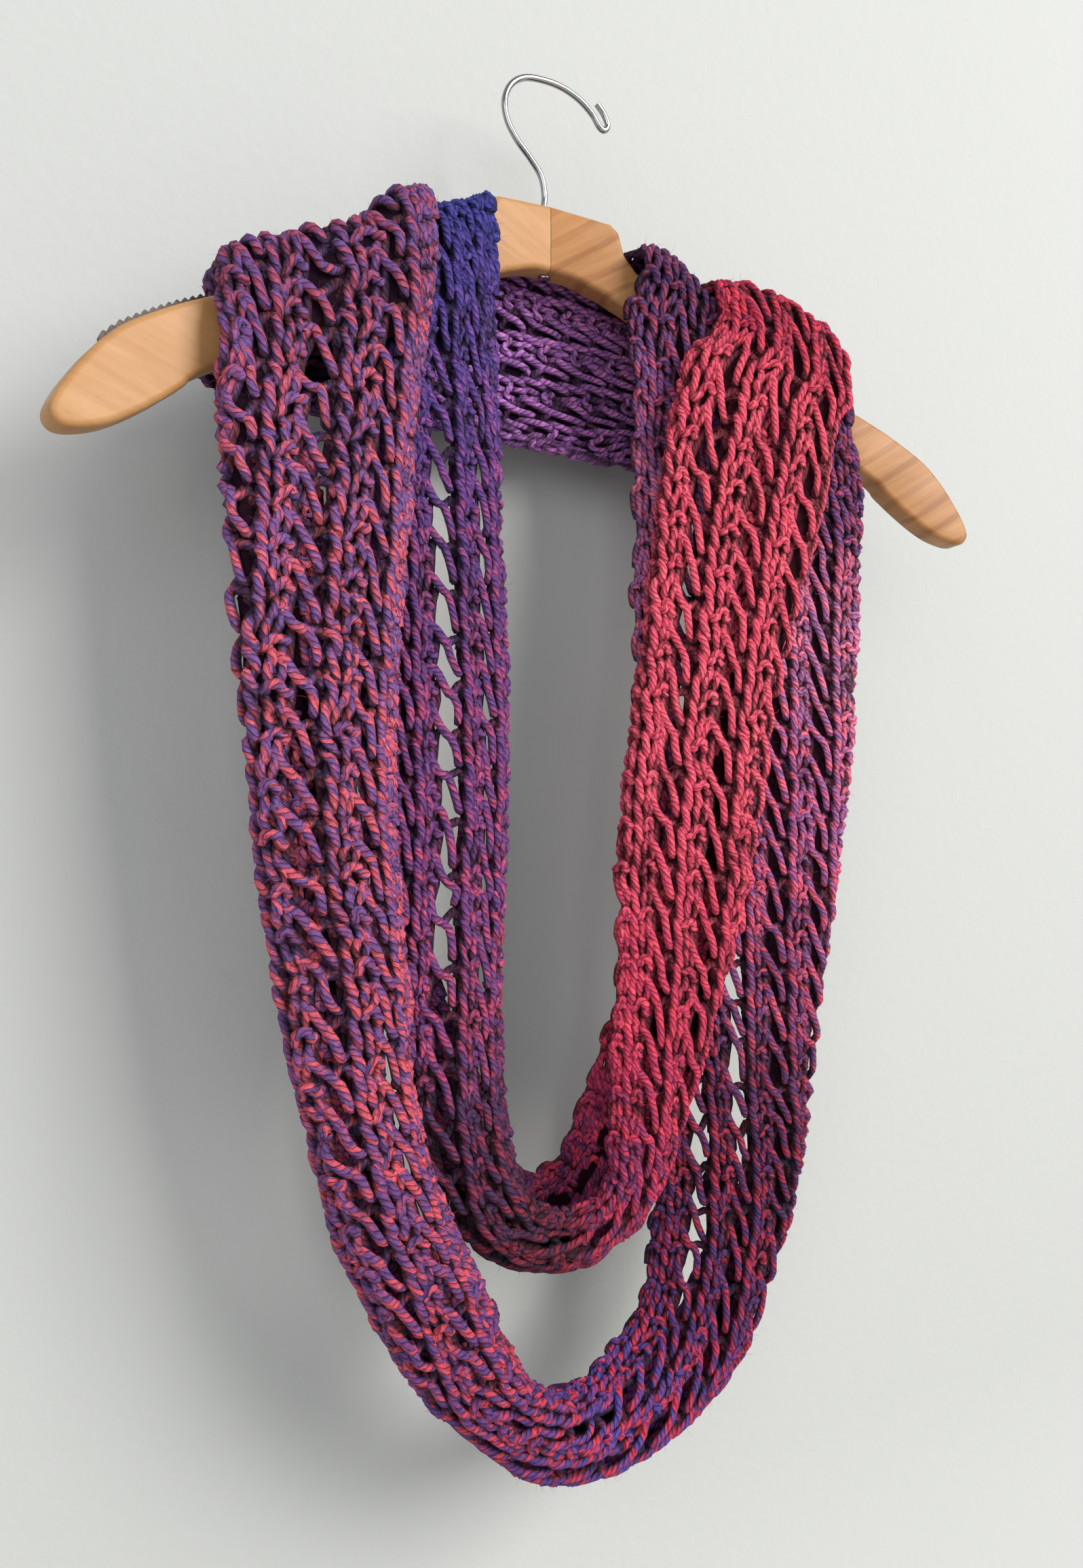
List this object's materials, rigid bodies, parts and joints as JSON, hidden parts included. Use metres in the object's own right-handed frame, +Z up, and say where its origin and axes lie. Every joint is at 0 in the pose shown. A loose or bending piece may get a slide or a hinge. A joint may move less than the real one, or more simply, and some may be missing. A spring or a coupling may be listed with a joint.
{
  "type": "knitted infinity scarf on wooden coat hanger",
  "caption": "Openwork knitted infinity scarf with dropped ladder lace, hung doubled as nested loops over a contoured wooden coat hanger with a wire hook.",
  "frame": {"origin": "inner top of the hook's bend, where the hanger hangs from a rail, rod or wall hook", "axes": "+X along the hanger towards the viewer's right, +Y away from the viewer towards the wall, +Z up"},
  "size_m": [0.4382, 0.0887, 0.6433],
  "materials": {
    "left_board": "clear satin lacquer, pale even grain",
    "right_board": "clear satin lacquer, darker streaked grain",
    "hook_wire": "bright plated wire",
    "grip_strips": "dull toothed strip",
    "yarn_violet_plum": "matt plied wool, violet with plum",
    "yarn_red_purple": "matt plied wool, dark red with purple",
    "yarn_purple_blue": "matt plied wool, purple with blue and coral flecks",
    "yarn_crimson_dark": "matt plied wool, crimson with dark purple flecks",
    "yarn_purple_coral": "matt plied wool, purple with coral",
    "yarn_blue": "matt plied wool, royal blue with violet",
    "yarn_dark_crimson_purple": "matt plied wool, dark crimson with dark purple",
    "yarn_crimson_purple_blue": "matt plied wool, crimson with purple and blue flecks",
    "yarn_coral_purple": "matt plied wool, coral with purple",
    "yarn_crimson": "matt plied wool, solid crimson",
    "yarn_plum_crimson": "matt plied wool, plum with crimson",
    "yarn_violet": "matt plied wool, violet with plum, coral flecks lower down"
  },
  "bodies": {
    "root": {"hanger_left": "left_board", "hanger_right": "right_board", "hook": "hook_wire", "grip_left": "grip_strips", "grip_right": "grip_strips", "neck_band": "yarn_violet_plum", "neck_band_hidden": "yarn_red_purple", "right_shoulder_under": "yarn_purple_blue", "right_shoulder_over": "yarn_crimson_dark", "left_shoulder_over": "yarn_purple_coral", "left_shoulder_under": "yarn_blue", "outer_right": "yarn_dark_crimson_purple", "outer_bottom": "yarn_crimson_purple_blue", "outer_left": "yarn_coral_purple", "inner_right": "yarn_crimson", "inner_bottom": "yarn_plum_crimson", "inner_left": "yarn_violet"}
  },
  "joints": []
}
